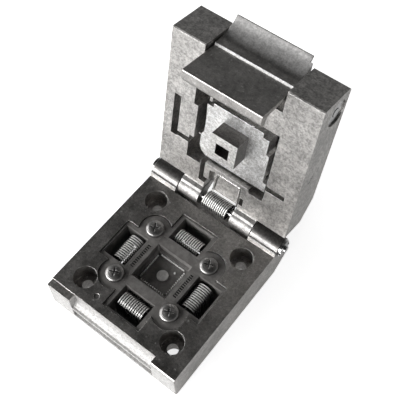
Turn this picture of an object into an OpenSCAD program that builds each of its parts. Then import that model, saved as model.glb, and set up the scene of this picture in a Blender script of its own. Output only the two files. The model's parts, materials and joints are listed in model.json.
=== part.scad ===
// Clamshell zero insertion force test socket for a flat leadless package.
// A machined base carries a moulded contact module, a sprung lid turns on a
// rear hinge pin, and a hook latch on the lid catches a ledge on the base.
// Millimetres, +Z up, +Y towards the hinge. Origin: centre of the base's
// board face, under the centre of the package. The lid is drawn wide open.

/* [Base] */
// Width of the base along the hinge
base_w = 32; // [31:0.5:42]
// Distance from the package centre to the latch face
base_front = 16; // [15.5:0.5:22]
// Distance from the package centre to the rear edge of the top face
base_rear = 15.7; // [15.4:0.1:20]
// Height of the base
base_h = 8.8; // [8:0.2:12]
// Spacing of the four mounting holes, both ways
hole_pitch = 22; // [21:0.5:24]
// Distance of the hole pattern's centre behind the package centre
hole_offset = 0.6; // [0:0.1:1]
// Radius of the mounting holes
hole_r = 1.15; // [0.9:0.05:1.4]
// Radius of the counterbores
cbore_r = 2.4; // [2:0.1:2.7]
// Depth of the counterbores
cbore_depth = 3.9; // [2:0.1:5]

/* [Package and contacts] */
// Width of the square package
pkg_w = 7; // [5:0.5:9]
// Contacts on each side
contact_count = 12; // [6:1:12]
// Pitch of the contacts
pitch = 0.5; // [0.4:0.05:0.6]
// Width of one stamped contact
contact_w = 0.24; // [0.12:0.01:0.26]
// Thickness of the contact strip
contact_t = 0.22; // [0.12:0.01:0.26]
// Depth of the package pocket below the top of the base
pocket_depth = 2.87; // [2.6:0.01:3.2]

/* [Lid] */
// Angle the lid stands open
open_angle = 101.4; // [60:0.1:110]
// Thickness of the lid
lid_t = 8.84; // [8:0.02:12]
// Side step of the lid inside the base's width
lid_inset = 0.05; // [0:0.05:1]
// Overhang of the lid past the latch face
lid_overhang = 2.55; // [2:0.05:4]
// Gap between the closed lid and the base
close_gap = 0.25; // [0.15:0.05:0.4]

/* [Hinge] */
// Diameter of the hinge pin
pin_d = 1.6; // [1.2:0.1:1.8]
// Radius of the base lugs around the pin
lug_r = 2.1; // [1.6:0.1:2.2]
// Inner face of each base lug, from the middle
lug_in = 9.4; // [9:0.1:11]
// Wire diameter of the lid spring
wire_d = 0.42; // [0.3:0.02:0.5]
// Mean radius of the spring coil
coil_r = 1.75; // [1.5:0.05:1.8]
// Turns of the spring coil
coil_turns = 13; // [6:1:13]

/* [Pressure plate] */
// Width of the plate
plate_w = 14.2; // [12:0.1:15]
// Length of the plate
plate_l = 14.2; // [12:0.1:14.6]
// Thickness of the plate
plate_t = 3; // [2.5:0.1:3.4]
// Float of the plate into the lid
plate_float = 0.8; // [0.4:0.1:0.8]
// Width of the pedestal that presses the package
pedestal_w = 5.9; // [3:0.1:6]
// Reach of the pedestal below the lid face
pedestal_reach = 2.6; // [1.8:0.1:2.6]

/* [Latch] */
// Width of the latch hook
latch_w = 16.7; // [12:0.1:18]
// Diameter of the latch pin
latch_pin_d = 1.6; // [1.2:0.1:1.8]
// Thickness of the hook's arm
arm_t = 1.1; // [0.8:0.05:1.4]
// Depth of the ledge's underside below the top of the base
ledge_depth = 4.5; // [4.2:0.1:5]
// Depth of the hook's catch behind its arm
catch_d = 1.9; // [1.4:0.05:1.9]

/* [Clearances] */
// Play of a moving bore round its pin
run_fit = 0.05; // [0.01:0.01:0.1]
// Play of a fixed bore round its pin
press_play = 0.02; // [0.01:0.01:0.05]
// Gap between the contact module and its recess
module_fit = 0.12; // [0.08:0.01:0.2]
// Gap between the latch and its surroundings
latch_fit = 0.25; // [0.2:0.05:0.4]

/* [Hidden] */
eps = 0.01;
far = 60;
top_z = base_h;
hinge_y = base_rear + 2.75;
hinge_z = top_z + close_gap;
pin_r = pin_d / 2;
half_w = base_w / 2;
lid_half = half_w - lid_inset;
lid_len = hinge_y + base_front + lid_overhang;
knuckle_r = 2.0;
knuckle_in = 4.1;
knuckle_out = lug_in - 0.2;
trough_r = 2.6;

// contact module, all from the package and the pitch
pocket_half = pkg_w / 2 + 0.1;
tip_r = pkg_w / 2 - 0.3;
nest_half = pocket_half + 2.6;
win_in = nest_half + 0.4;
win_out = win_in + 5.6;
arm_end = win_out + 0.3;
row_half = (contact_count - 1) / 2 * pitch;
win_half = row_half + 0.9;
arm_half = win_half + 0.85;
slot_w = contact_w + 0.1;
slot_r = pocket_half + 1.85;
screw_x = nest_half + 0.7;
screw_y = nest_half + 0.05;
ear_r = 3.3;
module_top = top_z - 0.35;
flange_z = top_z - 3;
nest_z = top_z - pocket_depth + 0.47;
pocket_z = top_z - pocket_depth;
module_z = 0.3;
screw_r = 0.8;
head_r = 1.9;
pad_r = 1.2;

// latch, all from the ledge it catches
arm_u = hinge_y + base_front + latch_fit;
lpin_u = arm_u - 1.7;
lpin_v = 5.7;
lpin_r = latch_pin_d / 2;
lip_v = -(ledge_depth + close_gap + 0.5);
notch_half = latch_w / 2 + 0.25;

// plate and its cross wire
plate_v = 1.2;
plate_u0 = hinge_y - 1.35 - plate_l / 2;
plate_u1 = plate_u0 + plate_l;
plate_half = plate_w / 2;
head_out = screw_x + head_r + 0.5;
cavity_left = -plate_half - 1.2;
cavity_right = max(plate_half + 2.2, head_out);
cavity_u0 = plate_u0 - 0.4;
cavity_u1 = hinge_y + screw_y + head_r + 0.2;
cavity_v = lid_t - 1.5;
head_u0 = hinge_y - screw_y;
wire_u = plate_u0 + 2.8;
wire_v = plate_v + plate_t - 0.9;
wire_r = 0.4;

metal = [0.80, 0.80, 0.79];
steel = [0.62, 0.62, 0.62];
resin = [0.16, 0.16, 0.17];
gilt = [0.72, 0.69, 0.62];

// ---- helpers --------------------------------------------------------------

// Prism from x0 to x1 on a section of [y, z] points
module prism(x0, x1, pts)
  translate([x0, 0, 0]) rotate([90, 0, 90]) linear_extrude(x1 - x0) polygon(pts);

// Section points given as [u, v]: u from the hinge axis to the free end,
// v outwards from the inner face of the closed lid
function uv(pts) = [for (p = pts) [-p[0], p[1]]];

// Box between two corners
module block(a, b) translate(a) cube(b - a);

// Box in the lid's own directions
module lid_box(x0, x1, u0, u1, v0, v1) block([x0, -u1, v0], [x1, -u0, v1]);

// Cylinder along X
module rod_x(x0, x1, r) translate([x0, 0, 0]) rotate([0, 90, 0]) cylinder(h = x1 - x0, r = r, $fn = 48);

// Cylinder along X at a place in the lid
module lid_rod(x0, x1, u, v, r) translate([0, -u, v]) rod_x(x0, x1, r);

// Turns the lid and what it carries from closed to open
module lid_pose() translate([0, hinge_y, hinge_z]) rotate([-open_angle, 0, 0]) children();

// Left and right copies
module both_sides() { children(); mirror([1, 0, 0]) children(); }

function unit(v) = v / norm(v);
function perp(v) = [-v[1], v[0]];
function leg_n(p, i) = perp(unit(p[i + 1] - p[i]));
function miter(a, b) = let (m = unit(a + b)) m / (m * a);
function pt_n(p, i) = i == 0 ? leg_n(p, 0)
  : i == len(p) - 1 ? leg_n(p, i - 1)
  : miter(leg_n(p, i - 1), leg_n(p, i));
// Closed outline of a strip of thickness t along a line of points
function strip(p, t) = concat(
  [for (i = [0:len(p) - 1]) p[i] + pt_n(p, i) * t / 2],
  [for (i = [len(p) - 1:-1:0]) p[i] - pt_n(p, i) * t / 2]);

// Round wire along a path. ref is a direction the path never runs along.
function way(p, i) = unit(p[min(i + 1, len(p) - 1)] - p[max(i - 1, 0)]);
function side_of(t, ref) = unit(ref - (ref * t) * t);
function ring_pts(c, t, ref, r, n) =
  let (a = side_of(t, ref), b = cross(t, a))
  [for (k = [0:n - 1]) c + r * (cos(360 * k / n) * a + sin(360 * k / n) * b)];
module wire(path, r, ref, n = 8) {
  m = len(path);
  pts = [for (i = [0:m - 1]) each ring_pts(path[i], way(path, i), ref, r, n)];
  walls = [for (i = [0:m - 2], k = [0:n - 1])
    [i * n + k, (i + 1) * n + k, (i + 1) * n + (k + 1) % n, i * n + (k + 1) % n]];
  caps = [[for (k = [0:n - 1]) k], [for (k = [n - 1:-1:0]) (m - 1) * n + k]];
  polyhedron(pts, concat(walls, caps), convexity = 8);
}
// Coil round X: x from x0 to x1, from angle a0, turning n times
function coil(x0, x1, r, a0, n, steps = 16) = [for (i = [0:n * steps])
  let (f = i / (n * steps), a = a0 + 360 * n * f)
  [x0 + (x1 - x0) * f, r * cos(a), r * sin(a)]];

// ---- base -----------------------------------------------------------------

// Outline of the contact module grown by c
module module_form(z0, z1, c, ears = true) {
  block([-arm_half - c, -arm_end - c, z0], [arm_half + c, arm_end + c, z1]);
  block([-arm_end - c, -arm_half - c, z0], [arm_end + c, arm_half + c, z1]);
  if (ears) {
    block([-screw_x, -screw_y - 0.5, z0], [screw_x, screw_y + 0.5, z1]);
    for (sx = [-1, 1], sy = [-1, 1])
      translate([sx * screw_x, sy * screw_y, z0])
        cylinder(h = z1 - z0, r = ear_r + c, $fn = 64);
  }
}

module mount_hole() {
  translate([0, 0, -1]) cylinder(h = far, r = hole_r, $fn = 48);
  translate([0, 0, top_z - cbore_depth]) cylinder(h = far, r = cbore_r, $fn = 64);
  translate([0, 0, -1]) cylinder(h = 1 + top_z - cbore_depth - 1.6, r = hole_r + 0.7, $fn = 48);
}

module base_frame() {
  rear = hinge_y + lug_r;
  lip = 0.35;
  scoop_half = 10.25;
  edge = 0.2;
  color(metal) difference() {
    union() {
      // body with a broken front edge and a shelf below the hinge
      prism(-half_w, half_w, [[-base_front + lip, 0], [base_rear + 1.2, 0],
        [rear - 0.3, 2.8], [rear, 4], [rear, hinge_z - coil_r - wire_d / 2 - 0.04],
        [base_rear, hinge_z - coil_r - wire_d / 2 - 0.04], [base_rear, top_z - edge],
        [base_rear - edge, top_z], [-base_front + edge, top_z],
        [-base_front, top_z - edge], [-base_front, lip]]);
      // hinge lugs
      both_sides() {
        translate([0, hinge_y, hinge_z]) rod_x(lug_in, half_w, lug_r);
        prism(lug_in, half_w, [[base_rear - 1, 3], [rear, 3], [rear, hinge_z],
          [hinge_y - lug_r, hinge_z], [hinge_y - lug_r - 0.1, top_z], [base_rear - 1, top_z]]);
        // narrow ramp in front of each lug, with a fine groove behind it
        prism(lug_in, half_w, [[base_rear + 0.05, top_z - 0.6], [base_rear + 0.05, top_z],
          [base_rear + 0.35, top_z + 0.95], [base_rear + 0.55, top_z + 0.95],
          [base_rear + 0.52, top_z - 0.6]]);
      }
    }
    // trough for the lid's knuckles and the spring
    translate([0, hinge_y, hinge_z]) rod_x(-lug_in, lug_in, trough_r);
    // pin bore
    translate([0, hinge_y, hinge_z]) rod_x(-far, far, pin_r + press_play);
    // recess and through opening for the contact module
    module_form(flange_z, far, module_fit);
    module_form(-1, flange_z + 1, module_fit, ears = false);
    // threaded holes for the module screws
    for (sx = [-1, 1], sy = [-1, 1])
      translate([sx * screw_x, sy * screw_y, flange_z - 2.6])
        cylinder(h = far, r = screw_r + press_play, $fn = 32);
    // mounting holes
    for (sx = [-1, 1], sy = [-1, 1])
      translate([sx * hole_pitch / 2, hole_offset - sy * hole_pitch / 2, 0]) mount_hole();
    // scoop over the latch ledge
    prism(-scoop_half, scoop_half, [[-base_front + 1.6, top_z + 1],
      [-base_front + 1.6, top_z - 2.5], [-base_front + 1.35, top_z - 3.2],
      [-base_front + 1, top_z - 3.65], [-base_front + 0.5, top_z - 4],
      [-base_front - 1, top_z - 4.2], [-base_front - 1, top_z + 1]]);
    // undercut that the hook's catch enters
    prism(-scoop_half, scoop_half, [[-base_front - 1, top_z - ledge_depth],
      [-base_front + catch_d + 0.1, top_z - ledge_depth],
      [-base_front + catch_d + 0.1, top_z - ledge_depth - 2.4],
      [-base_front + 1, top_z - ledge_depth - 3],
      [-base_front - 1, top_z - ledge_depth - 3]]);
    // fine line across the latch face
    block([-far, -base_front - 1, top_z - 1.4], [far, -base_front + 0.25, top_z - 1.1]);
    // shallow step left of the scoop
    block([-far, -far, top_z - 0.3], [-scoop_half, -base_front + 1.6, far]);
    // dimple beside the scoop
    translate([-6.5, -base_front + 5.8 - 1.9, top_z - 0.15]) cylinder(h = 1, r = 0.6, $fn = 32);
  }
}

// ---- contact module -------------------------------------------------------

// The four directions that the rows face, in the order right, rear, left, front
module each_side() for (a = [0, 90, 180, 270]) rotate([0, 0, a]) children();

// Row of boxes, one for each contact, from r0 to r1
module comb(r0, r1, z0, z1, w)
  for (i = [0:contact_count - 1])
    block([r0, -row_half + i * pitch - w / 2, z0], [r1, -row_half + i * pitch + w / 2, z1]);

module contact_carrier() color(resin) difference() {
  union() {
    module_form(flange_z, module_top, 0);
    module_form(module_z, flange_z, 0, ears = false);
  }
  // seat of the nest plate
  for (a = [0, 90]) rotate([0, 0, a])
    block([-nest_half, -arm_half, nest_z], [nest_half, arm_half, far]);
  // pocket floor
  block([-pocket_half, -pocket_half, pocket_z], [pocket_half, pocket_half, far]);
  each_side() {
    // window over the contacts
    block([win_in, -win_half, -1], [win_out, win_half, far]);
    // comb that the contacts lie in
    comb(pocket_half - 0.5, win_in + 0.5, pocket_z, nest_z + 0.5, slot_w);
  }
  // screw holes
  for (sx = [-1, 1], sy = [-1, 1])
    translate([sx * screw_x, sy * screw_y, flange_z - 1])
      cylinder(h = far, r = screw_r + 0.15, $fn = 32);
  // ground slug bore
  translate([0, 0, -1]) cylinder(h = far, r = pad_r + 0.02, $fn = 48);
  // polarity pin bore
  translate([1.6, 1.9, pocket_z - 1.5]) cylinder(h = far, r = 0.21, $fn = 24);
}

module nest_plate() {
  lead = 0.7;
  z1 = module_top;
  color(resin) difference() {
    for (a = [0, 90]) rotate([0, 0, a])
      block([-nest_half + 0.03, -arm_half + 0.03, nest_z], [nest_half - 0.03, arm_half - 0.03, z1]);
    block([-pocket_half, -pocket_half, 0], [pocket_half, pocket_half, far]);
    // lead-in ramps round the pocket
    each_side() rotate([90, 0, 0]) translate([0, 0, -pocket_half - lead])
      linear_extrude(2 * (pocket_half + lead))
        polygon([[0, z1 - 1.5], [pocket_half, z1 - 1.5], [pocket_half + lead, z1 + eps], [0, z1 + eps]]);
    // short slots for the humps of the left and right contacts
    for (a = [0, 180]) rotate([0, 0, a]) comb(slot_r - 0.4, slot_r + 0.4, 0, far, slot_w);
  }
}

// Side view of one contact: tip, beam in the comb, arch in the window, leg.
// The left and right ones also have a hump that shows in the nest's slots.
function hump(z) = [[slot_r - 0.2, z], [slot_r - 0.2, module_top - 0.45],
  [slot_r + 0.2, module_top - 0.45], [slot_r + 0.2, z]];
function contact_line(humped) = let (z = pocket_z + contact_t / 2) [[tip_r, top_z - 2.05],
  [tip_r + 0.15, top_z - 2.1], [tip_r + 0.28, z], each (humped ? hump(z) : []),
  [win_in + 0.25, z],
  [win_in + 0.7, top_z - 1.6], [win_in + 1.2, top_z - 1.02], [win_in + 2, top_z - 0.8],
  [win_in + 2.9, top_z - 0.86], [win_in + 3.6, top_z - 1.35], [win_in + 3.95, top_z - 2.4],
  [win_in + 4.1, 0.9], [win_in + 4.35, 0.35], [win_in + 5.2, 0.2]];

module contact_bank(a) color(gilt) rotate([0, 0, a])
  for (i = [0:contact_count - 1])
    translate([0, -row_half + i * pitch + contact_w / 2, 0]) rotate([90, 0, 0])
      linear_extrude(contact_w) polygon(strip(contact_line(a % 180 == 0), contact_t));

module contacts_front() contact_bank(270);
module contacts_right() contact_bank(0);
module contacts_rear() contact_bank(90);
module contacts_left() contact_bank(180);

module ground_pad() color(gilt) {
  translate([0, 0, 0.1]) cylinder(h = pocket_z + 0.17, r = pad_r, $fn = 48);
}

module polarity_pin() color(gilt)
  translate([1.6, 1.9, pocket_z - 1.4]) cylinder(h = 1.7, r = 0.2, $fn = 24);

module pan_screw() {
  difference() {
    rotate_extrude($fn = 64) polygon([[0, module_top - 4.6], [screw_r, module_top - 4.6],
      [screw_r, module_top], [head_r, module_top], [head_r, module_top + 0.6],
      [head_r - 0.08, module_top + 0.8], [head_r - 0.25, module_top + 0.96],
      [head_r - 0.6, module_top + 1.14], [head_r - 1.1, module_top + 1.26],
      [0, module_top + 1.3]]);
    for (a = [25, 115]) rotate([0, 0, a])
      block([-0.95, -0.17, module_top + 0.55], [0.95, 0.17, far]);
  }
}
module module_screws() color(steel)
  for (sx = [-1, 1], sy = [-1, 1]) translate([sx * screw_x, sy * screw_y, 0]) pan_screw();

// ---- hinge ----------------------------------------------------------------

module hinge_pin() color(steel) translate([0, hinge_y, hinge_z]) difference() {
  union() {
    rod_x(-half_w - 0.9, half_w + 1.1, pin_r);
  }
  for (x = [-half_w - 0.62, half_w + 0.08]) translate([x, 0, 0]) rotate([0, 90, 0]) difference() {
    cylinder(h = 0.54, r = pin_r + 1, $fn = 48);
    translate([0, 0, -1]) cylinder(h = 3, r = pin_r - 0.25, $fn = 48);
  }
}

// Open retaining ring round X, from x0, with its mouth down
module e_clip(x0, r_out, r_in, t) translate([x0, 0, 0]) rotate([0, 90, 0]) difference() {
  cylinder(h = t, r = r_out, $fn = 48);
  translate([0, 0, -1]) cylinder(h = t + 2, r = r_in, $fn = 48);
  translate([0, -r_in * 0.8, -1]) cube([r_out * 2, r_in * 1.6, t + 2]);
  for (a = [100, 260]) rotate([0, 0, a]) translate([r_out * 0.92, 0, -1])
    cylinder(h = t + 2, r = r_out * 0.3, $fn = 32);
}
module hinge_clips() color(steel) translate([0, hinge_y, hinge_z]) {
  e_clip(-half_w - 0.6, 1.9, pin_r - 0.22, 0.5);
  e_clip(half_w + 0.1, 1.9, pin_r - 0.22, 0.5);
}

module lid_spring() {
  x0 = -3;
  x1 = 3;
  turns = coil(x0, x1, coil_r, 270, coil_turns);
  color(steel) translate([0, hinge_y, hinge_z])
    wire(concat([[x0, lug_r - 0.1, -coil_r], [x0, 0.9, -coil_r]],
      [for (p = reverse(turns)) [-p[0], p[1], p[2]]]), wire_d / 2, [1, 0, 0]);
}
function reverse(v) = [for (i = [len(v) - 1:-1:0]) v[i]];

// ---- lid ------------------------------------------------------------------

module lid_frame() {
  bevel_v = lid_t - 2.94;
  out = lid_half;
  groove_u0 = wire_u - 0.6;
  groove_u1 = wire_u + 0.6;
  // stop tab in the cavity, in the plate's corner notch
  color(metal) lid_pose() lid_box(-6.6, -5.95, plate_u1 + 0.3, cavity_u1 + 1, 1, 4.6);
  color(metal) lid_pose() difference() {
    union() {
      prism(-out, out, uv([[2.9, 0], [lid_len - 0.25, 0], [lid_len, 0.25],
        [lid_len, lid_t - 0.5], [lid_len - 0.5, lid_t], [7.6, lid_t], [2.7, bevel_v]]));
      both_sides() {
        rod_x(knuckle_in, knuckle_out, knuckle_r);
        prism(knuckle_in, knuckle_out, uv([[1.15, -1.5], [2.1, -0.8], [2.5, 0], [4, 0.3], [4, bevel_v - 0.2],
          [2.74, bevel_v - 0.2], [0, knuckle_r - 0.06]]));
      }
    }
    // pin bore
    rod_x(-knuckle_out - 1, knuckle_out + 1, pin_r + run_fit);
    // cavity of the pressure plate; its walls step out round the module screws
    lid_box(cavity_left, cavity_right, cavity_u0, cavity_u1, -1, cavity_v);
    lid_box(-5.7, 5.3, cavity_u1 - 1, cavity_u1 + 0.3, -1, 5.2);
    lid_box(-head_out - 0.1, -5.9, min(cavity_u0 - 1.2, head_u0 - head_r - 0.2),
      head_u0 + head_r + 0.2, -1, 5.2);
    lid_box(5.9, cavity_right - 0.1, min(cavity_u0 - 0.9, head_u0 - head_r - 0.2),
      head_u0 + 1, -1, 5.2);
    lid_box(-head_out, -6.5, cavity_u1 - 2 * head_r - 0.4, cavity_u1 - 0.05, -1, 5.2);
    // tongue recess that the spring's bail lies in
    lid_box(-2.5, 4.35, 2.2, 8.6, -1, 0.6);
    // slots beside the tongue
    lid_box(-5.8, -4.7, 3.9, cavity_u0 + 1, -1, 3);
    lid_box(-4.8, -2.4, 3.85, 5.5, -1, 2.5);
    lid_box(-4.25, -2.4, 2.2, 5.4, -1, 2.5);
    lid_box(-3.45, -2.45, 5.3, 8.3, -1, 2.5);
    lid_box(4.4, 5.3, 3.9, 6, -1, 2);
    // grooves of the cross wire: both ends and its turned leg
    lid_box(-13.5, cavity_left + 1, groove_u0, groove_u1, -1, wire_v + wire_r);
    lid_box(cavity_right - 1, 13.5, groove_u0, groove_u1, -1, wire_v + wire_r);
    lid_box(-13.9, -12.3, groove_u0 - 0.2, groove_u0 + 10.3, -1, wire_v + wire_r);
    // notch of the latch, deeper behind the inner face
    lid_box(-notch_half, notch_half, lpin_u - 0.8, far, -1, far);
    lid_box(-notch_half, notch_half, lpin_u - 2.8, far, 2.5, far);
    // bevel at the notch's corner
    translate([notch_half + 1.8, 0, 0]) rotate([0, -32, 0])
      lid_box(-4, 0, lpin_u - 1.3, lpin_u + 2.2, -3, 0);
    // latch pin bore and counterbores
    lid_rod(-far, far, lpin_u, lpin_v, lpin_r + press_play);
    both_sides() lid_rod(out - 1.2, far, lpin_u, lpin_v, 2.7);
    // inclined slit in the right cheek
    translate([out - 0.8, -17.3, 3.7]) rotate([-27, 0, 0]) cube([2, 2.1, 0.45], center = true);
  }
}

module spring_bail() {
  v = 0.6 - wire_d / 2;
  color(steel) lid_pose() wire([[3.9, -2.45, v], [3.9, -5, v], [3.9, -7.9, v], [3.78, -8.2, v],
    [3.5, -8.3, v], [0, -8.3, v], [-1.1, -8.3, v], [-1.5, -8.1, v], [-1.65, -7.7, v],
    [-2.1, -3.5, v], [-2.2, -2.45, v]], wire_d / 2, [0, 0, 1]);
}

module plate_wire() color(steel) lid_pose()
  wire([[13.4, -wire_u, wire_v], [5, -wire_u, wire_v], [-5, -wire_u, wire_v],
    [-12.5, -wire_u, wire_v], [-13, -wire_u - 0.2, wire_v], [-13.2, -wire_u - 0.7, wire_v],
    [-13.2, -wire_u - 5, wire_v], [-13.2, -wire_u - 9, wire_v]], wire_r, [0, 0, 1], 12);

module latch_pin() color(steel) lid_pose() difference() {
  lid_rod(-lid_half + 0.25, lid_half - 0.25, lpin_u, lpin_v, lpin_r);
  for (x = [-lid_half + 0.6, lid_half - 1.14]) translate([x, -lpin_u, lpin_v])
    rotate([0, 90, 0]) difference() {
      cylinder(h = 0.54, r = lpin_r + 1, $fn = 48);
      translate([0, 0, -1]) cylinder(h = 3, r = lpin_r - 0.25, $fn = 48);
    }
}
module latch_clips() color(steel) lid_pose() translate([0, -lpin_u, lpin_v]) {
  e_clip(-lid_half + 0.62, 1.9, lpin_r - 0.22, 0.5);
  e_clip(lid_half - 1.12, 1.9, lpin_r - 0.22, 0.5);
}

module latch_spring() {
  turns = coil(-1.6, 1.6, 1.3, 0, 6, 14);
  color(steel) lid_pose() translate([0, -lpin_u, lpin_v])
    wire(concat([[-1.6, 1.3, -2.6], [-1.6, 1.3, -1.1]], turns), 0.18, [1, 0, 0], 6);
}

// ---- pressure plate -------------------------------------------------------

// Prism from v0 to v1 on an outline of [x, u] points
module lid_slab(v0, v1, pts)
  translate([0, 0, v0]) linear_extrude(v1 - v0) polygon([for (p = pts) [p[0], -p[1]]]);

module pressure_plate() {
  h = plate_half;
  color(metal) lid_pose() difference() {
    lid_slab(plate_v, plate_v + plate_t, [[-h + 0.2, plate_u0 + 0.9], [-h + 1.4, plate_u0],
      [h + 1.5, plate_u0 + 0.1], [h + 1.5, plate_u0 + 2.2], [h + 0.7, plate_u0 + 2.4],
      [h + 0.7, plate_u0 + 9.35], [h, plate_u0 + 9.6], [h, plate_u1 - 1.1],
      [h - 1.45, plate_u1 - 1.1], [h - 1.45, plate_u1], [3.5, plate_u1], [3.5, plate_u1 + 0.25],
      [3.1, plate_u1 + 0.25], [3.1, plate_u1], [-h + 1.4, plate_u1], [-h + 1.4, plate_u1 - 1],
      [-h, plate_u1 - 1], [-h + 0.25, plate_u1 - 5], [-h + 0.25, plate_u0 + 6.2],
      [-h - 0.35, plate_u0 + 5], [-h - 0.35, plate_u0 + 2.2]]);
    // slot of the cross wire, long enough for the float
    lid_box(-far, far, wire_u - wire_r - 0.1, wire_u + wire_r + 0.1,
      wire_v - wire_r - plate_float - 0.1, wire_v + wire_r + 0.1);
  }
}

module pusher_pedestal() {
  half = pedestal_w / 2;
  v = -pedestal_reach;
  u0 = hinge_y - half - 0.05;
  u1 = hinge_y + half - 0.2;
  color(metal) lid_pose() difference() {
    lid_box(-half, half, u0, u1, v, plate_v);
    // relief for the die
    lid_box(-half * 0.56, half * 0.46, u0 + half * 0.39, u1 - half * 0.64, v - 1, v + 2.4);
  }
}

module pusher_springs() {
  v0 = plate_v + plate_t + 0.1;
  v1 = cavity_v - plate_float - 0.2;
  r = 1.1;
  color(steel) lid_pose()
    for (sx = [-1, 1], su = [-1, 1])
      translate([sx * plate_w * 0.3, -(plate_u0 + plate_u1) / 2 + su * plate_l * 0.3, 0])
        wire([for (i = [0:48]) let (a = i * 30)
          [r * cos(a), r * sin(a), v0 + 0.05 + (v1 - v0 - 0.1) * i / 48]], 0.15, [0, 0, 1], 6);
}

// ---- latch ----------------------------------------------------------------

module latch_hook() {
  half = latch_w / 2;
  ho = arm_u + arm_t;
  lu = arm_u - catch_d;
  color(metal) lid_pose() difference() {
    union() {
      prism(-half, half, uv([[ho, lip_v - 1.2], [ho, 2.3], [ho + 1.1, 2.3], [ho + 1.1, 5.5],
        [ho + 1.35, 6.7], [ho + 2, 7.7], [ho + 3.2, 8.6], [ho + 2.9, 9.1], [ho + 0.5, 7.8],
        [ho - 1, 7.55], [lpin_u, lpin_v + 1.8], [lpin_u, lpin_v - 1.8], [arm_u, 3],
        [arm_u, lip_v + 0.8], [arm_u - 0.3, lip_v + 0.3], [arm_u - 0.8, lip_v], [lu + 0.3, lip_v],
        [lu, lip_v - 0.75], [lu + 1.05, lip_v - 1.6], [ho - 0.5, lip_v - 1.6]]));
      lid_rod(-half, half, lpin_u, lpin_v, 1.8);
    }
    lid_rod(-far, far, lpin_u, lpin_v, lpin_r + run_fit);
    // the lever stops short on the right
    lid_box(half - 0.65, far, lpin_u - 5, far, lpin_v + 2.2, far);
    // window for the spring round the pin
    lid_rod(-2, 2, lpin_u, lpin_v, 1.9);
    lid_box(-2, 2, lpin_u - 2, lpin_u, lpin_v - 2.2, lpin_v + 2.2);
  }
}

base_frame();
contact_carrier();
nest_plate();
contacts_front();
contacts_right();
contacts_rear();
contacts_left();
ground_pad();
polarity_pin();
module_screws();
hinge_pin();
hinge_clips();
lid_spring();
lid_frame();
spring_bail();
plate_wire();
latch_pin();
latch_clips();
latch_spring();
pressure_plate();
pusher_pedestal();
pusher_springs();
latch_hook();
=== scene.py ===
# %% [markdown]
# # A clamshell test socket
# The socket is a small machined clamshell. A metal base holds a black moulded
# contact module, a metal lid turns on a pin at the back, and a hook at the
# lid's free end locks it shut. The exact solids come ready made, so this
# lesson is about finishes: bead-blasted metal, turned steel, moulded resin,
# plated contacts and drawn wire. It ends with a few pieces that need smoother
# curves, and with the light that makes metal read.

# %% Load the solids
import json
import math
import bmesh
import bpy
from mathutils import Matrix, Vector


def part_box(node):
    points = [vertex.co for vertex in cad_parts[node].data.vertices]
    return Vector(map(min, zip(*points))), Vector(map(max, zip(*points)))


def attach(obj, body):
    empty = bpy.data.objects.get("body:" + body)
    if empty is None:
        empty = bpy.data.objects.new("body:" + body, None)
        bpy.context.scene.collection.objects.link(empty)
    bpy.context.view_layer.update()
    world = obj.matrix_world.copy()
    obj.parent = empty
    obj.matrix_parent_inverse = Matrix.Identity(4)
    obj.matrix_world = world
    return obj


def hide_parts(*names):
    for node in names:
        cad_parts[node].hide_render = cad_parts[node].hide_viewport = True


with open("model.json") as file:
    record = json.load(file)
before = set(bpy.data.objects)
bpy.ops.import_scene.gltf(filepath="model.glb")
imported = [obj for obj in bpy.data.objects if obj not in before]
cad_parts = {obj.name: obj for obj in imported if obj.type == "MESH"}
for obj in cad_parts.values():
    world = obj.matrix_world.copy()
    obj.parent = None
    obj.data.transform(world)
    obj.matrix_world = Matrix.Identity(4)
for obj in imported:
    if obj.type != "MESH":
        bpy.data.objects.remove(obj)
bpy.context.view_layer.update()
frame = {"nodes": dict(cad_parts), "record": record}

MM = 0.001
scene = bpy.context.scene
print("solids:", len(frame["nodes"]))

# %% [markdown]
# ## Where things are
# The lid stands open at a slant, so places on it are easiest to give along
# the lid itself. Its hinge and the slide of its spring plate are joints of
# the model, and they give two directions: up the lid, and straight back from
# its face. Reading them from the frame keeps this script in step with it.

# %% The lid's own axes
joints = {joint["name"]: joint for joint in frame["record"]["behaviour"]["joints"]}
HINGE = [c / MM for c in joints["lid_hinge"]["pos_m"][1:]]      # y and z of the hinge pin
BACK = joints["plate_float"]["axis"][1:]                        # y and z, away from the lid's face
UP = (-BACK[1], BACK[0])                                        # y and z, up the lid


def lid_place(y, z):
    """How far up the open lid a place lies, and how far behind its face."""
    up = (y - HINGE[0]) * UP[0] + (z - HINGE[1]) * UP[1]
    back = (y - HINGE[0]) * BACK[0] + (z - HINGE[1]) * BACK[1]
    return up, back


def lid_yz(up, back):
    """The y and z of a place that is given along the open lid."""
    return HINGE[0] + up * UP[0] + back * BACK[0], HINGE[1] + up * UP[1] + back * BACK[1]


PIN_UP, PIN_BACK = lid_place(*[c / MM for c in joints["latch_pivot"]["pos_m"][1:]])
print("latch pin, mm up the lid and behind its face:", round(PIN_UP, 2), round(PIN_BACK, 2))

# %% [markdown]
# ## Arithmetic on sockets
# Node trees are quicker to read as sums than as wires. One small class wraps
# a socket, and Python's operators add the Math nodes. Numbers alone never
# reach the tree: they are worked out before a node is made.

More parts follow.
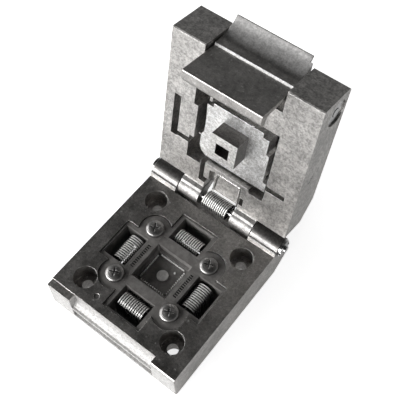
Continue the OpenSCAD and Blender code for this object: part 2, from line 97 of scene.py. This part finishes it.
# %% A socket that does arithmetic
class Sock:
    """A node socket with arithmetic, in the tree it belongs to."""

    def __init__(self, tree, out):
        self.tree, self.out = tree, out

    def node(self, kind, settings=None, pick=0, **values):
        """Add a node: settings first, then values or links by socket name or number."""
        made = self.tree.nodes.new(kind)
        for key, value in (settings or {}).items():
            if key == "stops":
                set_stops(made.color_ramp, value)
            else:
                setattr(made, key, value)
        for key, value in values.items():
            numbered = key[0] == "i" and key[1:].isdigit()
            slot = made.inputs[int(key[1:]) if numbered else key.replace("_", " ")]
            if isinstance(value, Sock):
                self.tree.links.new(value.out, slot)
            else:
                slot.default_value = value
        return Sock(self.tree, made.outputs[pick])

    def math(self, operation, other=0.0):
        return self.node("ShaderNodeMath", {"operation": operation}, i0=self, i1=other)

    def __add__(self, other):
        return self.math("ADD", other)

    def __mul__(self, other):
        return self.math("MULTIPLY", other)

    def __sub__(self, other):
        return self.math("SUBTRACT", other)

    def __rsub__(self, other):
        return self.node("ShaderNodeMath", {"operation": "SUBTRACT"}, i0=other, i1=self)

    def __pow__(self, other):
        return self.math("POWER", other)

    def __abs__(self):
        return self.math("ABSOLUTE")

    __radd__, __rmul__ = __add__, __mul__

    def clip(self):
        return self.node("ShaderNodeClamp", Value=self)

    def larger(self, other):
        return self.math("MAXIMUM", other)

    def between(self, low, high, soft):
        """One between two values, fading to nought over a soft width."""
        rise = ((self - low) * (1 / soft) + 0.5).clip()
        return rise * ((high - self) * (1 / soft) + 0.5).clip()

    def ramp(self, *stops):
        return self.node("ShaderNodeValToRGB", {"stops": stops}, Fac=self)

    def blend(self, low, high):
        """Mix two colours by this socket."""
        return self.node("ShaderNodeMix", {"data_type": "RGBA"}, pick=2, i0=self,
                         i6=low if isinstance(low, Sock) else (*low, 1),
                         i7=high if isinstance(high, Sock) else (*high, 1))


def set_stops(color_ramp, stops):
    """Set a ramp's stops, each a place and a grey value."""
    while len(color_ramp.elements) < len(stops):
        color_ramp.elements.new(0.5)
    for element, (place, value) in zip(color_ramp.elements, stops):
        element.position = place
        element.color = (value, value, value, 1)


print("socket methods:", sum(callable(method) for method in vars(Sock).values()))

# %% [markdown]
# ## How a finish starts
# Every finish starts the same way: a Principled shader, and the piece's own
# Object coordinates in millimetres, so that a grain of 0.1 mm is written as
# 0.1 and stays where it is on the piece when the lid moves. UV maps would
# need seams on every solid, and a blasted skin has no direction to follow.

# %% Start of a finish
def finish(name):
    """A new material, its shader and its place in millimetres."""
    material = bpy.data.materials.new(name)
    material.use_nodes = True
    tree = material.node_tree
    shader = tree.nodes["Principled BSDF"]
    start = Sock(tree, tree.nodes.new("ShaderNodeTexCoord").outputs["Object"])
    place = start.node("ShaderNodeVectorMath", {"operation": "SCALE"}, Vector=start, Scale=1 / MM)
    return material, shader, place


def plug(place, shader, **links):
    """Give a shader's sockets their links or their fixed values."""
    for name, value in links.items():
        slot = shader.inputs[name.replace("_", " ")]
        if isinstance(value, Sock):
            place.tree.links.new(value.out, slot)
        else:
            slot.default_value = value


def noise(place, size, detail=2.0, rough=0.5):
    """Noise whose blotches are about size millimetres across."""
    return place.node("ShaderNodeTexNoise", Vector=place, Scale=1 / size, Detail=detail,
                      Roughness=rough)


def axes(place):
    """The three coordinates of a place as separate sockets, in millimetres."""
    parts = place.node("ShaderNodeSeparateXYZ", Vector=place).out.node.outputs
    return [Sock(place.tree, part) for part in parts]


print("one millimetre is", MM, "of Blender's units")

# %% [markdown]
# ## Masks
# Some places on one piece of metal are painted lighter or darker than the rest,
# as light and shade. The tops of the hinge lugs get painted shade and their
# fronts a painted highlight, the skirt in front is painted pale as light, and the
# hook's step gets a painted highlight. A mask is a function of the place on the
# piece, and a finish takes as many masks as it needs. Painting them would need
# a texture, and these edges all follow simple planes.

# %% Masks on the base and at the hinge
LUG_R, LUG_SHADE_START = 2.55, 1.1        # how far the lugs reach, and where their painted shade starts
COIL_CORE = 1.86                    # the grooves between the turns lie inside this radius
SKIRT_Y, SKIRT_TOP, SKIRT_HALF = -13.6, 8.1, 15.8


def from_hinge(place):
    """Distance from the hinge pin's axis."""
    y, z = axes(place)[1:]
    return ((y - HINGE[0]) ** 2.0 + (z - HINGE[1]) ** 2.0) ** 0.5


def knuckle(place):
    return from_hinge(place).between(-1.0, LUG_R, 0.1)


# The tops of the lugs face the dark ceiling, and this mask paints shade on them.
def knuckle_top_painted_shade(place):
    height = axes(place)[2]
    return knuckle(place) * height.between(HINGE[1] + LUG_SHADE_START, 20.0, 0.8)


# The fronts of the lugs face the lamp and the table, and this mask paints a highlight on them.
def knuckle_front_painted_highlight(place):
    height = axes(place)[2]
    return knuckle(place) * height.between(0.0, HINGE[1] + LUG_SHADE_START, 0.8)


# This mask paints shade into the grooves between the coil's turns.
def coil_groove_painted_shade(place):
    return from_hinge(place).between(-1.0, COIL_CORE, 0.06)


# This mask paints light: the skirt in front is made pale and less metallic, as a washed-out bright
# face.
def front_skirt_painted_light(place):
    x, y, z = axes(place)
    front = (SKIRT_Y - y).between(0.0, 5.0, 0.3) * z.between(-1.0, SKIRT_TOP, 0.5)
    return front * abs(x).between(-1.0, SKIRT_HALF, 0.2)


print("hinge pin at y, z:", [round(c, 2) for c in HINGE])

# %% [markdown]
# The masks on the lid's moving pieces use its own two directions. The first
# two mark the hook's narrow step for a painted highlight and the finger face of
# its lever for painted light, the third the lever's tip for painted shade, and
# the last all of the pedestal behind its front face for painted shade.

# %% Masks on the hook and the pedestal
TOP = PIN_UP + 2.8                  # the hook's flat top, up the lid
STEP = 2.3                          # where the flat top ends at the step
LEVER_TIP = 8.6                     # how far back the lever reaches
PEDESTAL_FACE = -2.6


# This mask paints a highlight on the hook's narrow step.
def hook_step_painted_highlight(place):
    up, back = lid_place(*axes(place)[1:])
    return up.between(TOP + 0.03, TOP + 0.48, 0.06) * back.between(STEP - 0.3, STEP + 0.26, 0.06)


# This mask paints light on the lever's finger face, lighter than the rest of the hook.
def lever_face_painted_light(place):
    up, back = lid_place(*axes(place)[1:])
    return back.between(5.2, LEVER_TIP + 0.02, 1.4) * up.between(TOP + 0.5, TOP + 4.2, 0.3)


# This mask paints shade on the lever's tip.
def lever_rim_painted_shade(place):
    back = lid_place(*axes(place)[1:])[1]
    return back.between(LEVER_TIP + 0.06, LEVER_TIP + 1.4, 0.05)


# This mask paints shade on the pedestal's sides, all but its front face.
def pedestal_sides_painted_shade(place):
    back = lid_place(*axes(place)[1:])[1]
    return back.between(PEDESTAL_FACE + 0.08, 9.0, 0.06)


print("hook's top, mm up the lid:", round(TOP, 2))

# %% [markdown]
# ## Bead-blasted metal
# Bead blasting leaves a skin of tiny overlapping dents. At arm's length they
# show as a sparkle, dark pits among bright grains. Two noises do it, a fine
# one and a coarser one, and a wide third makes cloudy patches where hands and
# fixtures have rubbed. A Bevel node rounds the machined edges only in the
# shading. Where its normal leaves the face's own, there is an edge, so the
# same node also says where the skin is rubbed bright and where a painted edge
# highlight goes. An image texture would blur or repeat at this grain, and noise
# never does.

# %% Bead-blasted metal
PATCH, NICK = 4.5, 0.55             # sizes of cloudy patches and of nicks
NICK_TONE, EDGE_TONE = (0.75, 0.74, 0.73), (0.92, 0.91, 0.89)


def blasted_metal(name, tone, grain=0.2, contrast=1.0, rough=0.36, dent=0.016, edge=0.10,
                  shades=(), nicks=0.0, cloud=0.55):
    """Shades is a list of (mask function, colour, how metallic, how rough)."""
    material, shader, place = finish(name)
    dents = noise(place, grain, 3.0, 0.6)
    pits = noise(place, grain * 2.6, 2.0, 0.55)
    patches = noise(place, PATCH, 3.0, 0.6)
    speck = ((dents * 0.55 + pits * 0.45 - 0.5) * (contrast * 4.0) + 0.5).clip()
    tint = speck.blend([c * 0.62 for c in tone], [min(c * 1.16, 0.97) for c in tone])
    worn = patches.ramp((0.38, 0.62), (0.62, 1.0))
    colour = place.node("ShaderNodeMix", {"data_type": "RGBA", "blend_type": "MULTIPLY"},
                        pick=2, i0=cloud, i6=tint, i7=worn)
    metallic, roughness = 1.0, patches * 0.14 + (rough - 0.07)
    if nicks:
        nick = noise(place, NICK, 3.0, 0.7).ramp((0.62, 0.0), (0.66, 1.0)) * nicks
        colour = nick.blend(colour, NICK_TONE)
        metallic = 1.0 - nick * 0.6
    for mask, shade, mask_metallic, mask_rough in shades:
        cover = mask(place)
        colour = cover.blend(colour, (speck * 0.5 + 0.5).blend((0, 0, 0), shade))
        metallic = cover * (mask_metallic - metallic) + metallic
        roughness = cover * (mask_rough - roughness) + roughness
    bevel = place.node("ShaderNodeBevel", {"samples": 6}, Radius=edge * MM)
    face = place.node("ShaderNodeNewGeometry", pick=1)
    along = bevel.node("ShaderNodeVectorMath", {"operation": "DOT_PRODUCT"}, pick=1,
                       i0=bevel, i1=face)
    # Near edges the colour turns pale: partly rubbed bare metal, partly a painted edge highlight.
    rubbed_edge_and_highlight = ((1.0 - along) * 7.0).clip() * (pits * 1.2 - 0.1).clip() * 0.9
    bump = place.node("ShaderNodeBump", Strength=0.6, Distance=dent * MM,
                      Height=dents * 0.6 + pits * 0.6, Normal=bevel)
    plug(place, shader, Base_Color=rubbed_edge_and_highlight.blend(colour, EDGE_TONE),
         Metallic=metallic - rubbed_edge_and_highlight * 0.5, Normal=bump, Roughness=roughness)
    return material


print("cloudy patches:", PATCH, "mm across, nicks:", NICK, "mm")

# %% [markdown]
# The same function gives six finishes. The base is pale and cloudy, the lid
# is darker with a coarser grain, and the hook darker still. The spring plate
# is almost white, as new metal is, and its pedestal is white on the face that
# presses the package, with painted shade on its other sides. The zinc screws
# have a very fine grain. A shade goes with each mask: its colour, how metallic
# and how rough it is.

# %% Blasted finishes
LUG_TOP_PAINTED_SHADE = (knuckle_top_painted_shade, (0.17, 0.165, 0.16), 1.0, 0.45)
LUG_FRONT_PAINTED_HIGHLIGHT = (knuckle_front_painted_highlight, (0.62, 0.61, 0.60), 0.5, 0.45)
SKIRT_PAINTED_LIGHT = (front_skirt_painted_light, (0.66, 0.65, 0.64), 0.35, 0.55)
KNUCKLE = (knuckle, (0.46, 0.45, 0.44), 0.8, 0.46)
STEP_PAINTED_HIGHLIGHT = (hook_step_painted_highlight, (0.95, 0.94, 0.93), 0.1, 0.45)
LEVER_PAINTED_LIGHT = (lever_face_painted_light, (0.72, 0.71, 0.70), 0.75, 0.42)
LEVER_RIM_PAINTED_SHADE = (lever_rim_painted_shade, (0.12, 0.116, 0.112), 1.0, 0.42)
BLOCK_SIDES_PAINTED_SHADE = (pedestal_sides_painted_shade, (0.19, 0.182, 0.175), 1.0, 0.36)

BASE_METAL = blasted_metal("base_blasted", (0.61, 0.59, 0.57), nicks=0.8, cloud=0.9,
                           shades=[LUG_TOP_PAINTED_SHADE, LUG_FRONT_PAINTED_HIGHLIGHT, SKIRT_PAINTED_LIGHT])
LID_METAL = blasted_metal("lid_blasted", (0.54, 0.526, 0.51), grain=0.34, contrast=1.35,
                          rough=0.42, dent=0.024, nicks=0.35, shades=[KNUCKLE])
HOOK_METAL = blasted_metal("hook_blasted", (0.46, 0.447, 0.432), grain=0.3, contrast=0.75,
                           rough=0.38, nicks=0.5, shades=[STEP_PAINTED_HIGHLIGHT, LEVER_PAINTED_LIGHT, LEVER_RIM_PAINTED_SHADE])
PLATE_METAL = blasted_metal("plate_blasted", (0.97, 0.96, 0.94), grain=0.26, contrast=1.7,
                            rough=0.40)
BLOCK_METAL = blasted_metal("pedestal_blasted", (0.84, 0.83, 0.81), contrast=1.2, rough=0.40,
                            shades=[BLOCK_SIDES_PAINTED_SHADE])
ZINC = blasted_metal("screw_zinc", (0.36, 0.352, 0.345), grain=0.14, contrast=0.9, rough=0.38,
                     edge=0.12)
print("nodes in the base's finish:", len(BASE_METAL.node_tree.nodes))

# %% [markdown]
# ## Turned steel, drawn wire and the ground pad
# Pins are turned and wire is drawn, so their marks run one way: a noise that
# is stretched by a Mapping node gives them. The coil is wound close, and the
# grooves between its turns get painted shade, which a mask on the distance
# from the hinge gives more surely than the small shadows do.

# %% Satin metals
SATIN_PATCH, GROOVE_SHADE_TONE = 2.4, (0.03, 0.03, 0.03)


def satin_metal(name, tone, rough, streak, groove_shade=None, metallic=1.0):
    """Streak is the size of a mark along x, y and z, in millimetres."""
    material, shader, place = finish(name)
    stretched = place.node("ShaderNodeMapping", Vector=place, Scale=[1 / s for s in streak])
    lines = place.node("ShaderNodeTexNoise", Vector=stretched, Scale=1.0, Detail=2.0)
    patches = noise(place, SATIN_PATCH, 3.0, 0.6)
    shade = (lines * 0.5 + patches * 0.5).ramp((0.3, 0.0), (0.7, 1.0))
    colour = shade.blend([c * 0.72 for c in tone], [min(c * 1.1, 0.97) for c in tone])
    if groove_shade:
        # The grooves get painted shade.
        colour = groove_shade(place).blend(colour, GROOVE_SHADE_TONE)
    bump = place.node("ShaderNodeBump", Strength=0.12, Distance=0.02 * MM, Height=lines)
    plug(place, shader, Base_Color=colour, Metallic=metallic, Normal=bump,
         Roughness=patches * 0.14 + (rough - 0.07))
    return material


print("satin patches:", SATIN_PATCH, "mm across")

# %% [markdown]
# Steel pins have fine rings along X. The spring wire shows longer streaks,
# and the coil is paler than the rest because its turns are rubbed. The round
# pad in the pocket is plated, so it is dull and hardly metallic at all.

# %% Satin finishes
STEEL = satin_metal("turned_steel", (0.56, 0.56, 0.56), 0.24, (0.05, 1.2, 1.2))
WIRE = satin_metal("drawn_wire", (0.66, 0.655, 0.645), 0.22, (0.05, 0.8, 0.8))
COIL = satin_metal("coil_wire", (0.80, 0.79, 0.77), 0.34, (0.3, 0.8, 0.8), groove_shade=coil_groove_painted_shade)
PAD = satin_metal("pad_plating", (0.66, 0.65, 0.63), 0.5, (0.6, 0.6, 0.6), metallic=0.3)
print("satin finishes:", [material.name for material in (STEEL, WIRE, COIL, PAD)])

# %% [markdown]
# ## Moulded resin
# The contact module is a filled resin. It is black, a little dusty, and its
# skin has the faint orange peel of a spark-eroded mould. Dust is a ramp on a
# wide noise, and the peel is a fine bump.

# %% Moulded resin
def moulded_resin(name, tone):
    material, shader, place = finish(name)
    peel = noise(place, 0.18)
    dust = noise(place, 1.6, 4.0, 0.65)
    dusty = [c * 1.7 + 0.012 for c in tone]
    colour = dust.ramp((0.42, 0.0), (0.78, 1.0)).blend(tone, dusty)
    bevel = place.node("ShaderNodeBevel", {"samples": 4}, Radius=0.06 * MM)
    bump = place.node("ShaderNodeBump", Strength=0.25, Distance=0.03 * MM, Height=peel,
                      Normal=bevel)
    plug(place, shader, Base_Color=colour, Normal=bump, Roughness=dust * 0.2 + 0.38)
    return material


RESIN = moulded_resin("module_resin", (0.120, 0.115, 0.110))
print("resin nodes:", len(RESIN.node_tree.nodes))

# %% [markdown]
# ## Contact strip
# The contacts are stamped strip, in four banks round the pocket. Their arches
# are burnished where a package has pressed them, the small tips in the pocket
# get a painted glint, and all the rest is painted dark as the shade of the comb.
# The banks face four ways, so the larger of x and y tells how far out along a
# contact a place lies, and one finish does for all four.

# %% Contact strip
ARCH_IN, ARCH_OUT, ARCH_LOW = 7.35, 10.15, 6.4      # the burnished arch
TIP_OUT = 3.95                                      # the tips lie nearer the middle than this


def contact_strip(name, tone):
    material, shader, place = finish(name)
    x, y, z = axes(place)
    out = abs(x).larger(abs(y))
    arch = out.between(ARCH_IN, ARCH_OUT, 0.4) * z.between(ARCH_LOW, 9.0, 0.6)
    # The tips in the pocket get a painted glint: pale and not metallic.
    tip_painted_glint = out.between(-1.0, TIP_OUT, 0.2)
    patches = noise(place, 0.7, 3.0, 0.6)
    burnished = patches.ramp((0.3, 0.8), (0.7, 1.0)).blend((0, 0, 0), tone)
    # Outside the arch the strip is painted dark as shade.
    colour = arch.blend((0.07, 0.07, 0.07), burnished)
    plug(place, shader, Base_Color=tip_painted_glint.blend(colour, (0.95, 0.94, 0.92)),
         Metallic=0.3 - tip_painted_glint * 0.3, Roughness=patches * 0.14 + 0.26)
    return material


CONTACT = contact_strip("contact_plating", (0.93, 0.92, 0.90))
print("contact nodes:", len(CONTACT.node_tree.nodes))

# %% [markdown]
# ## Dressing the solids
# Each solid keeps its shape and only gets a material. A table of names is
# easier to check than a line for each, and it shows at once which pieces
# share a finish.

# %% The finishes of this socket
FINISHES = {
    "base_frame": BASE_METAL, "lid_frame": LID_METAL, "latch_hook": HOOK_METAL,
    "pressure_plate": PLATE_METAL, "pusher_pedestal": BLOCK_METAL,
    "contact_carrier": RESIN, "nest_plate": RESIN,
    "contacts_front": CONTACT, "contacts_right": CONTACT, "contacts_rear": CONTACT,
    "contacts_left": CONTACT, "ground_pad": PAD, "polarity_pin": CONTACT,
    "module_screws": ZINC, "hinge_pin": STEEL, "hinge_clips": STEEL,
    "latch_pin": STEEL, "latch_clips": STEEL,
    "lid_spring": COIL, "spring_bail": WIRE, "plate_wire": WIRE,
    "latch_spring": WIRE, "pusher_springs": WIRE,
}
for node_name, node_material in FINISHES.items():
    solid = bpy.data.objects[node_name]
    solid.data.materials.clear()
    solid.data.materials.append(node_material)
print("solids dressed:", len(FINISHES), "finishes:", len(set(FINISHES.values())))

# %% [markdown]
# ## Pieces made with bmesh
# A mesh starts from a few corners and grows by operators. Two helpers cover
# most machined shapes: one pulls an outline along X, the other spins a
# section round an axis that runs along X. A section that starts on the axis
# is left open there, because the axis itself has no surface.

# %% Helpers for machined pieces
SPIN_STEPS = 48


def pull_x(mesh, outline, x0, x1):
    """Close an outline of (y, z) corners and pull it along X."""
    face = mesh.faces.new([mesh.verts.new((x0 * MM, y * MM, z * MM)) for y, z in outline])
    pulled = bmesh.ops.extrude_face_region(mesh, geom=[face], use_keep_orig=True)["geom"]
    ends = [v for v in pulled if isinstance(v, bmesh.types.BMVert)]
    bmesh.ops.translate(mesh, vec=((x1 - x0) * MM, 0, 0), verts=ends)


def spin_x(mesh, section, y, z):
    """Spin a section of (x, radius) corners once round an axis along X."""
    corners = [mesh.verts.new((x * MM, y * MM, (z + r) * MM)) for x, r in section]
    starts_on_axis = section[0][1] == 0
    ring = corners[1:] if starts_on_axis else corners[1:] + corners[:1]
    edges = [mesh.edges.new((a, b)) for a, b in zip(corners, ring)]
    bmesh.ops.spin(mesh, geom=corners + edges, cent=(0, y * MM, z * MM), axis=(1, 0, 0),
                   angle=2 * math.pi, steps=SPIN_STEPS, use_merge=True)


def soften(mesh, edges, width):
    """Round edges off with a small bevel."""
    bmesh.ops.bevel(mesh, geom=edges, offset=width * MM, affect="EDGES", segments=2,
                    profile=0.5, material=-1)


print("a spun circle has", SPIN_STEPS, "sides of", 360 / SPIN_STEPS, "degrees")

# %% [markdown]
# A bmesh becomes an object in three steps: merge doubled corners, turn the
# faces outwards, and shade smooth with the sharp edges kept. The object stays
# at the origin, and its place is in its mesh, as with the solids. Then it is
# told which body carries it.

# %% Helpers from mesh to piece
SHARP = 35                          # degrees


def smooth_faces(data):
    """Smooth shading that breaks at the sharp edges."""
    data.shade_smooth()
    data.set_sharp_from_angle(angle=math.radians(SHARP))


def make_object(name, mesh, material):
    """Turn a bmesh into an object at the origin."""
    bmesh.ops.remove_doubles(mesh, verts=mesh.verts, dist=1e-7)
    bmesh.ops.recalc_face_normals(mesh, faces=mesh.faces)
    data = bpy.data.meshes.new(name)
    mesh.to_mesh(data)
    mesh.free()
    smooth_faces(data)
    data.materials.append(material)
    made = bpy.data.objects.new(name, data)
    scene.collection.objects.link(made)
    return made


def fit(piece, body):
    """Let a piece ride on a body, and say how closed it is."""
    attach(piece, body)
    mesh = bmesh.new()
    mesh.from_mesh(piece.data)
    print(piece.name, "faces:", len(mesh.faces), "open edges:",
          sum(not e.is_manifold for e in mesh.edges))
    mesh.free()


print("edges sharper than", SHARP, "degrees stay sharp")

# %% [markdown]
# ## The hook
# The hook is one milled bar. Its lever curls up like a finger rest, so its
# outline is walked once: the flat top, a sloping step with a painted highlight,
# the curl as a few points of a curve, the hub round the pin, and the catch
# underneath. All of it is given along the lid, where the bar's faces are straight.

# %% The hook's outline
HOOK_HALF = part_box("latch_hook")[1][0] / MM
ARM = PIN_UP + 1.7                  # the arm's inner face, up the lid
LIP = -5.25                         # the catch's upper face, in front of the lid
HUB_R, BORE_R, WINDOW_R, WINDOW_HALF = 1.8, 0.85, 1.95, 2.0
LEVER_CUT, LEVER_RIGHT = 7.9, 7.7   # behind this the lever ends short on the right


def curl(start, middle, end, steps):
    """Points of a curve from start to end, drawn towards the middle."""
    for k in range(steps + 1):
        t = k / steps
        yield tuple((1 - t) ** 2 * a + 2 * t * (1 - t) * b + t * t * c
                    for a, b, c in zip(start, middle, end))


def round_hub(steps=12):
    """Half a circle round the pin, from behind it to in front."""
    for k in range(steps + 1):
        turn = math.pi * k / steps
        yield PIN_UP - HUB_R * math.sin(turn), PIN_BACK + HUB_R * math.cos(turn)


TOP_AND_STEP = [(TOP, LIP - 1.42), (TOP, STEP), (TOP + 0.5, STEP + 0.25)]
LEVER_FRONT = curl((TOP + 0.5, 3.9), (TOP + 0.6, 6.9), (TOP + 3.2, LEVER_TIP), 12)
LEVER_BACK = curl((TOP + 2.6, 8.95), (TOP + 0.4, 7.6), (TOP - 1.0, 7.5), 6)
CATCH = [(ARM, 3.0), (ARM, LIP + 0.8), (ARM - 0.3, LIP + 0.3), (ARM - 0.8, LIP),
         (PIN_UP + 0.1, LIP), (PIN_UP - 0.2, LIP - 0.75), (PIN_UP + 0.85, LIP - 1.6),
         (TOP - 0.22, LIP - 1.6)]
HOOK_LINE = [*TOP_AND_STEP, *LEVER_FRONT, (TOP + 2.9, 9.1), *LEVER_BACK, *round_hub(), *CATCH]
print("corners in the hook's outline:", len(HOOK_LINE))

# %% [markdown]
# The bar is pulled along X and its corners get a fine bevel. Three cutters
# then make the short right end, the window for the spring and the pin's bore.
# A Boolean is the plain way to drill a finished bar. It is taken for good,
# its doubled corners are merged, and a Weighted Normal keeps the large faces
# flat beside the small bevels.

# %% The hook
NEARLY = 0.002                      # corners closer than this are one corner


def cut(piece, name, mesh):
    """Take a mesh's shape out of a piece for good."""
    cutter = make_object(name, mesh, HOOK_METAL)
    taken = piece.modifiers.new("cut", "BOOLEAN")
    taken.object, taken.operation, taken.solver = cutter, "DIFFERENCE", "EXACT"
    solid_now = piece.evaluated_get(bpy.context.evaluated_depsgraph_get())
    piece.data = bpy.data.meshes.new_from_object(solid_now)
    piece.modifiers.clear()
    bpy.data.objects.remove(cutter)


def merge_corners(piece):
    """Merge the corners that a cut leaves nearly on top of each other."""
    mesh = bmesh.new()
    mesh.from_mesh(piece.data)
    bmesh.ops.remove_doubles(mesh, verts=mesh.verts, dist=NEARLY * MM)
    mesh.to_mesh(piece.data)
    mesh.free()


def hook():
    bar = bmesh.new()
    pull_x(bar, [lid_yz(up, back) for up, back in HOOK_LINE], -HOOK_HALF, HOOK_HALF)
    soften(bar, [e for e in bar.edges if e.calc_face_angle(0) > math.radians(30)], 0.11)
    piece = make_object("hook_bar", bar, HOOK_METAL)
    y, z = lid_yz(PIN_UP, PIN_BACK)
    beyond = HOOK_HALF + 1
    end, window, bore = bmesh.new(), bmesh.new(), bmesh.new()
    block = [(PIN_UP - 5, LEVER_CUT), (TOP + 6, LEVER_CUT), (TOP + 6, 12), (PIN_UP - 5, 12)]
    pull_x(end, [lid_yz(up, back) for up, back in block], LEVER_RIGHT, 12)
    for mesh, half, radius in ((window, WINDOW_HALF, WINDOW_R), (bore, beyond, BORE_R)):
        spin_x(mesh, [(-half, 0), (-half, radius), (half, radius), (half, 0)], y, z)
    for name, mesh in (("end", end), ("window", window), ("bore", bore)):
        cut(piece, name, mesh)
    merge_corners(piece)
    smooth_faces(piece.data)
    piece.modifiers.new("flat faces stay flat", "WEIGHTED_NORMAL").keep_sharp = True
    fit(piece, "latch")
    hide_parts("latch_hook")


hook()

# %% [markdown]
# ## Washers
# A steel washer sits in each counterbore at the ends of the latch pin, in
# front of its clip. Its section is a small rectangle, spun once. A flat disc
# with a hole would do as well, but a spun section also serves a stepped one.

# %% Washers
LID_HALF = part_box("lid_frame")[1][0] / MM
WASHER_FACE, WASHER_THICK, WASHER_IN, WASHER_OUT = LID_HALF - 0.33, 0.24, 0.95, 2.62


def washers():
    mesh = bmesh.new()
    inner = WASHER_FACE - WASHER_THICK
    section = [(inner, WASHER_IN), (inner, WASHER_OUT), (WASHER_FACE, WASHER_OUT),
               (WASHER_FACE, WASHER_IN)]
    for side in (-1, 1):
        spin_x(mesh, [(side * x, r) for x, r in section], *lid_yz(PIN_UP, PIN_BACK))
    fit(make_object("latch_washers", mesh, STEEL), "lid")


washers()

# %% [markdown]
# ## Window floors of painted shade
# Each window in the contact module gets a dark floor, a sheet of painted shade
# that keeps the white table under the socket from shining up between the
# contacts. A floor is in two strips with the contacts' legs between them. Each
# is a cube stretched by its own matrix and softened at its edges, and the four
# windows are one loop.

# %% Window floors of painted shade
FLOOR_STRIPS = ((6.7, 10.3), (11.1, 12.1))      # from and to, out from the middle
FLOOR_HALF, FLOOR_Z, FLOOR_THICK = 3.6, 0.9, 0.4


# Each floor is a dark sheet of painted shade.
def window_floors():
    mesh = bmesh.new()
    for quarter in range(4):
        for near, far in FLOOR_STRIPS:
            size = Vector((far - near, FLOOR_HALF * 2, FLOOR_THICK)) * MM
            place = (Matrix.Rotation(quarter * math.pi / 2, 4, "Z")
                     @ Matrix.Translation(Vector(((near + far) / 2, 0, FLOOR_Z)) * MM)
                     @ Matrix.Diagonal((*size, 1)))
            bmesh.ops.create_cube(mesh, size=1.0, matrix=place)
    soften(mesh, list(mesh.edges), 0.08)
    fit(make_object("window_floors", mesh, RESIN), "base")


window_floors()

# %% [markdown]
# ## Table
# A white table fills the view. Its own diffuse skin catches the socket's
# shadow, and a little glow that only the camera and mirror rays see lifts it
# to white without adding light to the object.

# %% Table
GLOW_SEEN, GLOW_MIRRORED, GLOW_THROUGH = 0.8, 0.25, 0.2


def table():
    bpy.ops.mesh.primitive_plane_add(size=6)
    plane = bpy.context.object
    plane.name = "table"
    material, shader, place = finish("table_white")
    path = place.node("ShaderNodeLightPath").out.node
    seen, mirrored, through = [Sock(place.tree, path.outputs["Is " + kind + " Ray"])
                               for kind in ("Camera", "Glossy", "Transmission")]
    plug(place, shader, Base_Color=(0.9, 0.9, 0.9, 1), Roughness=0.9,
         Emission_Color=(1, 1, 1, 1),
         Emission_Strength=seen * GLOW_SEEN + mirrored * GLOW_MIRRORED
         + through * GLOW_THROUGH)
    plane.data.materials.append(material)
    print(plane.name, "is", plane.dimensions.x, "m wide")


table()

# %% [markdown]
# ## Light
# Metal shows what stands round it. A dark ceiling leaves the faces that look
# up dark, and the white table makes the upright faces bright, so the sky
# fades from grey at the horizon to nearly black overhead. The camera itself
# sees the sky as white.

# %% World
HORIZON, OVERHEAD = 0.62, 0.012


def room():
    world = bpy.data.worlds.new("room")
    scene.world = world
    world.use_nodes = True
    tree = world.node_tree
    background = tree.nodes["Background"]
    direction = Sock(tree, tree.nodes.new("ShaderNodeTexCoord").outputs["Generated"])
    height = direction.node("ShaderNodeSeparateXYZ", pick=2, Vector=direction)
    sky = height.ramp((0.0, HORIZON), (0.30, 0.30), (0.55, 0.10), (0.80, OVERHEAD))
    camera_ray = Sock(tree, tree.nodes.new("ShaderNodeLightPath").outputs["Is Camera Ray"])
    tree.links.new(camera_ray.blend(sky, (1, 1, 1)).out, background.inputs["Color"])
    print("sky at the horizon and overhead:", HORIZON, OVERHEAD)


room()

# %% [markdown]
# Two soft lamps model the edges. A wide one stands low in front of the latch,
# where the lid's face and the skirt look, and a weaker one stands to the left
# and leaves a soft shadow on the right of the pedestal.

# %% Lamps
SOCKET_MIDDLE = (0, 0.01, 0.015)


def soft_lamp(name, place, size, power):
    """A rectangular lamp that looks at the socket, its size in metres."""
    data = bpy.data.lights.new(name, "AREA")
    data.shape = "RECTANGLE"
    data.size, data.size_y = size
    data.energy = power
    lamp = bpy.data.objects.new(name, data)
    scene.collection.objects.link(lamp)
    lamp.location = place
    lamp.rotation_euler = (Vector(SOCKET_MIDDLE) - Vector(place)).to_track_quat("-Z", "Y").to_euler()
    print(name, power, "W")


soft_lamp("front_lamp", place=(-0.20, -0.50, 0.17), size=(0.70, 0.22), power=5.2)
soft_lamp("left_lamp", place=(-0.42, -0.10, 0.20), size=(0.30, 0.25), power=1.0)

# %% [markdown]
# ## Camera
# The view looks down on the open socket from the front right. The camera's
# axes are written out, because a small roll goes on top of the aim.

# %% Camera
def camera(place, aim, lens, roll):
    """A camera in metres, its lens in millimetres and its roll in degrees."""
    data = bpy.data.cameras.new("camera")
    data.lens, data.sensor_width = lens, 36
    data.clip_start, data.clip_end = 0.005, 20
    forward = (Vector(aim) - Vector(place)).normalized()
    right = forward.cross(Vector((0, 0, 1))).normalized()
    down = forward.cross(right)
    turn = math.radians(roll)
    right_rolled = math.cos(turn) * right + math.sin(turn) * down
    down_rolled = -math.sin(turn) * right + math.cos(turn) * down
    turned = Matrix((right_rolled, -down_rolled, -forward)).transposed().to_4x4()
    made = bpy.data.objects.new("camera", data)
    made.matrix_world = Matrix.Translation(Vector(place)) @ turned
    scene.collection.objects.link(made)
    scene.camera = made
    print("lens:", lens, "mm, roll:", roll, "degrees")


camera(place=(0.04570, -0.04374, 0.14135), aim=(-0.003857, 0.01728, 0.0088),
       lens=66.46, roll=1.41)
scene.view_settings.view_transform = "Standard"

# %% [markdown]
# ## The end
